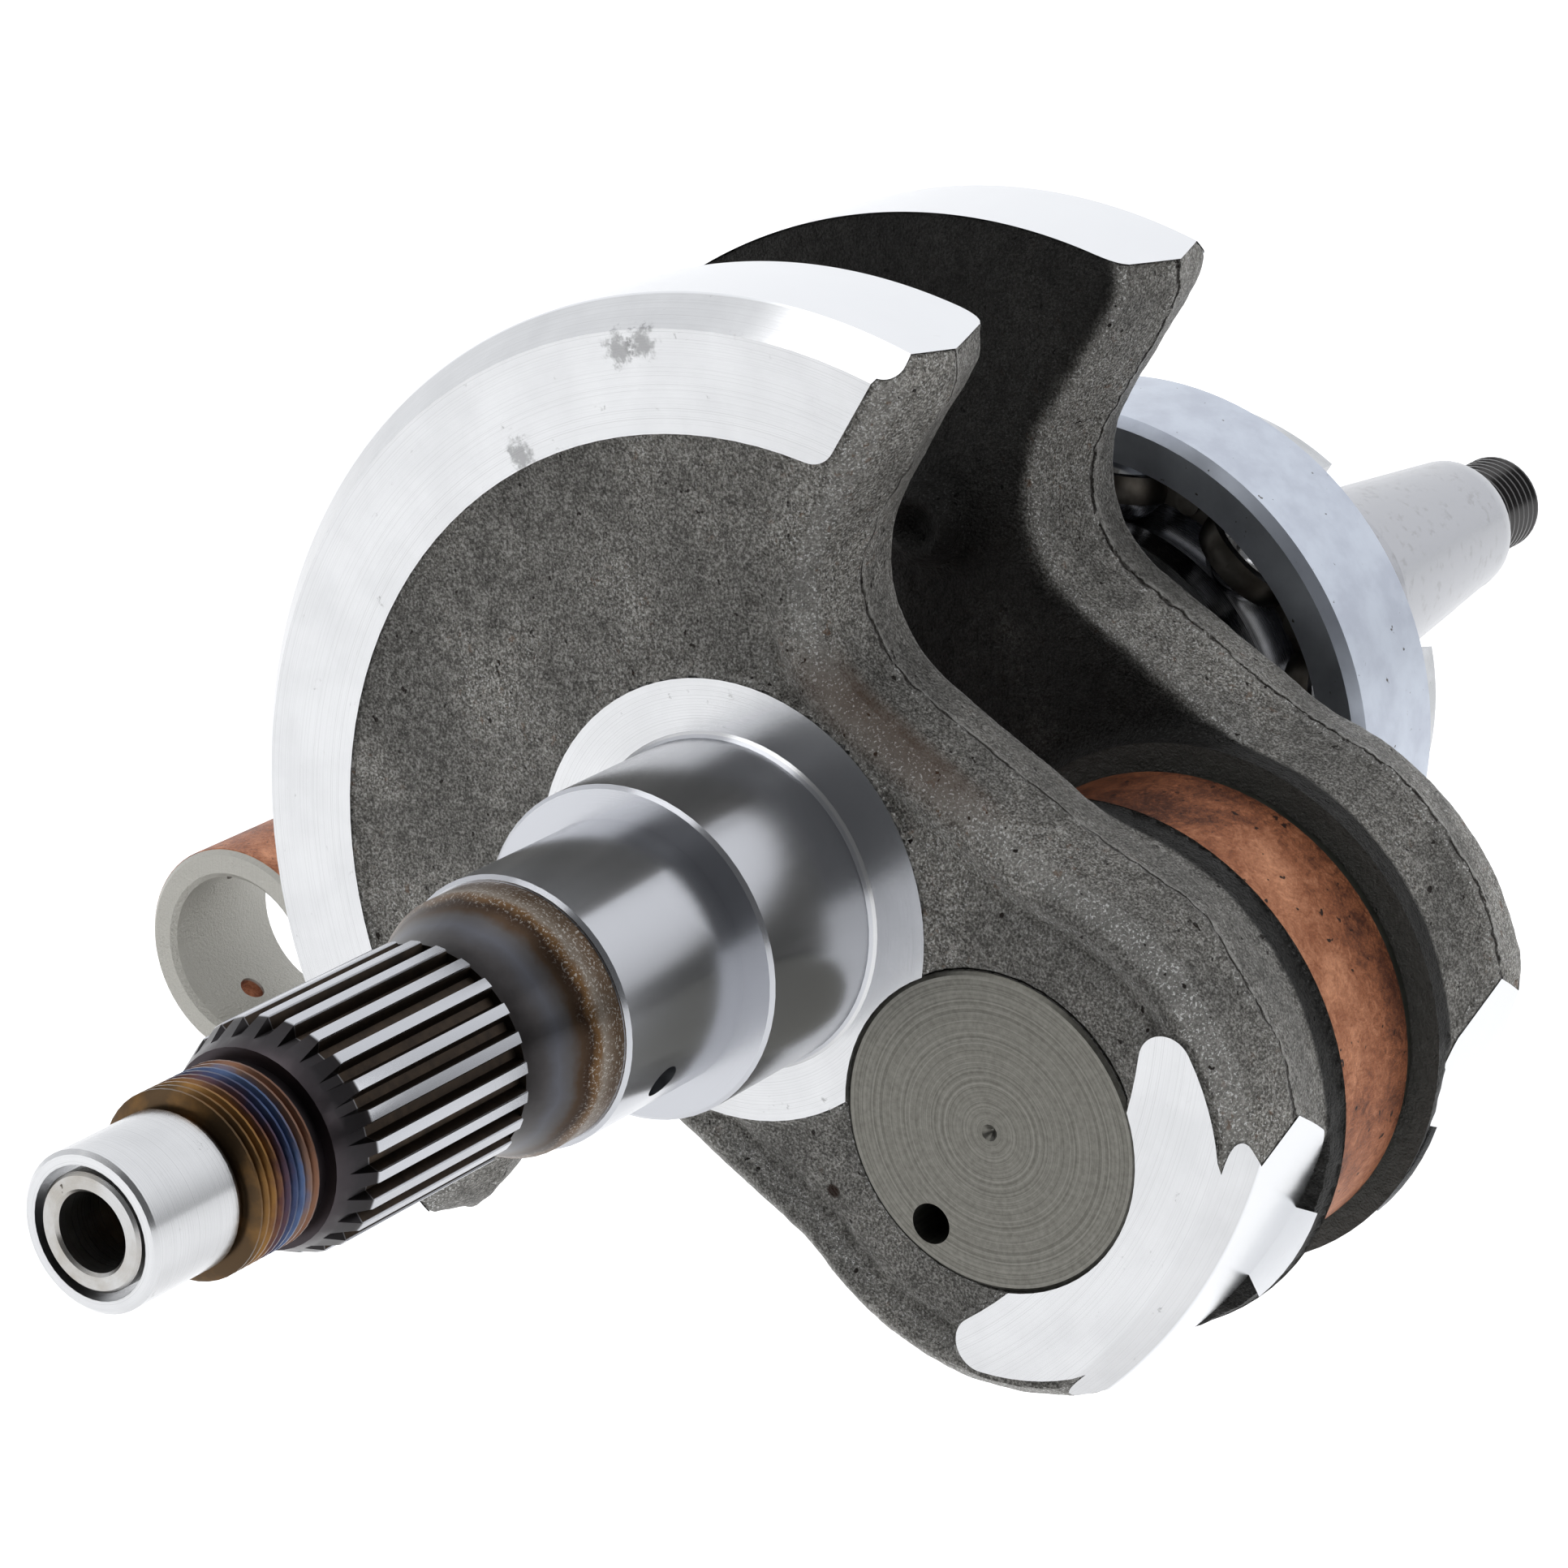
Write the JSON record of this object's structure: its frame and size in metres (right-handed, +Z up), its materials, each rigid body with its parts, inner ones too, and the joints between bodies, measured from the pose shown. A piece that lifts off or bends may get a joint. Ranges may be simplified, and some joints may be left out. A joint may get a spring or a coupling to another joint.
{
  "type": "motorcycle crankshaft",
  "caption": "Built-up single-throw crankshaft with splined and tapered shaft ends, counterweights, connecting rod and a main ball bearing.",
  "frame": {"origin": "on the crank axis, in the middle of the main ball bearing", "axes": "+X along the crank axis from the splined drive end to the tapered rotor end, +Z up, the connecting rod's small end towards +Y"},
  "size_m": [0.274, 0.1585, 0.1111],
  "materials": {
    "forged_steel": "raw forging with ground journals",
    "turned_steel": "fine turned",
    "ground_steel": "ground",
    "bearing_steel": "ground",
    "polished_steel": "polished",
    "cage_steel": "pressed sheet",
    "copper_plated_steel": "copper flash on forged faces, machined eyes",
    "silvered_cage": "silvered"
  },
  "bodies": {
    "crankcase_seat": {"main_bearing_outer_ring": "bearing_steel"},
    "crank": {"drive_side_crank_half": "forged_steel", "rotor_side_crank_half": "forged_steel", "crankpin": "turned_steel", "crankpin_oil_plug": "turned_steel", "oil_feed_bush": "turned_steel", "main_bearing_inner_ring": "bearing_steel", "lugged_drive_flange": "ground_steel"},
    "ball_cage": {"main_bearing_balls": "polished_steel", "main_bearing_cage_inboard": "cage_steel", "main_bearing_cage_outboard": "cage_steel", "main_bearing_cage_rivets": "cage_steel"},
    "rod": {"connecting_rod": "copper_plated_steel"},
    "big_end_bearing": {"big_end_cage": "silvered_cage", "big_end_rollers": "polished_steel", "drive_side_thrust_washer": "turned_steel", "rotor_side_thrust_washer": "turned_steel"}
  },
  "joints": [
    {"name": "crank_spin", "type": "hinge", "parent": "crankcase_seat", "child": "crank", "pos_m": [0, 0, 0], "axis": [1, 0, 0], "continuous": true},
    {"name": "ball_cage_spin", "type": "hinge", "parent": "crankcase_seat", "child": "ball_cage", "pos_m": [0, 0, 0], "axis": [1, 0, 0], "continuous": true},
    {"name": "rod_swing", "type": "hinge", "parent": "crank", "child": "rod", "pos_m": [-0.0463, -0.03133, -0.01823], "axis": [1, 0, 0], "continuous": true},
    {"name": "big_end_cage_spin", "type": "hinge", "parent": "crank", "child": "big_end_bearing", "pos_m": [-0.0463, -0.03133, -0.01823], "axis": [1, 0, 0], "continuous": true}
  ],
  "couplings": [
    {"joint": "ball_cage_spin", "follows": "crank_spin", "ratio": 0.3963},
    {"joint": "big_end_cage_spin", "follows": "rod_swing", "ratio": 0.5526}
  ]
}
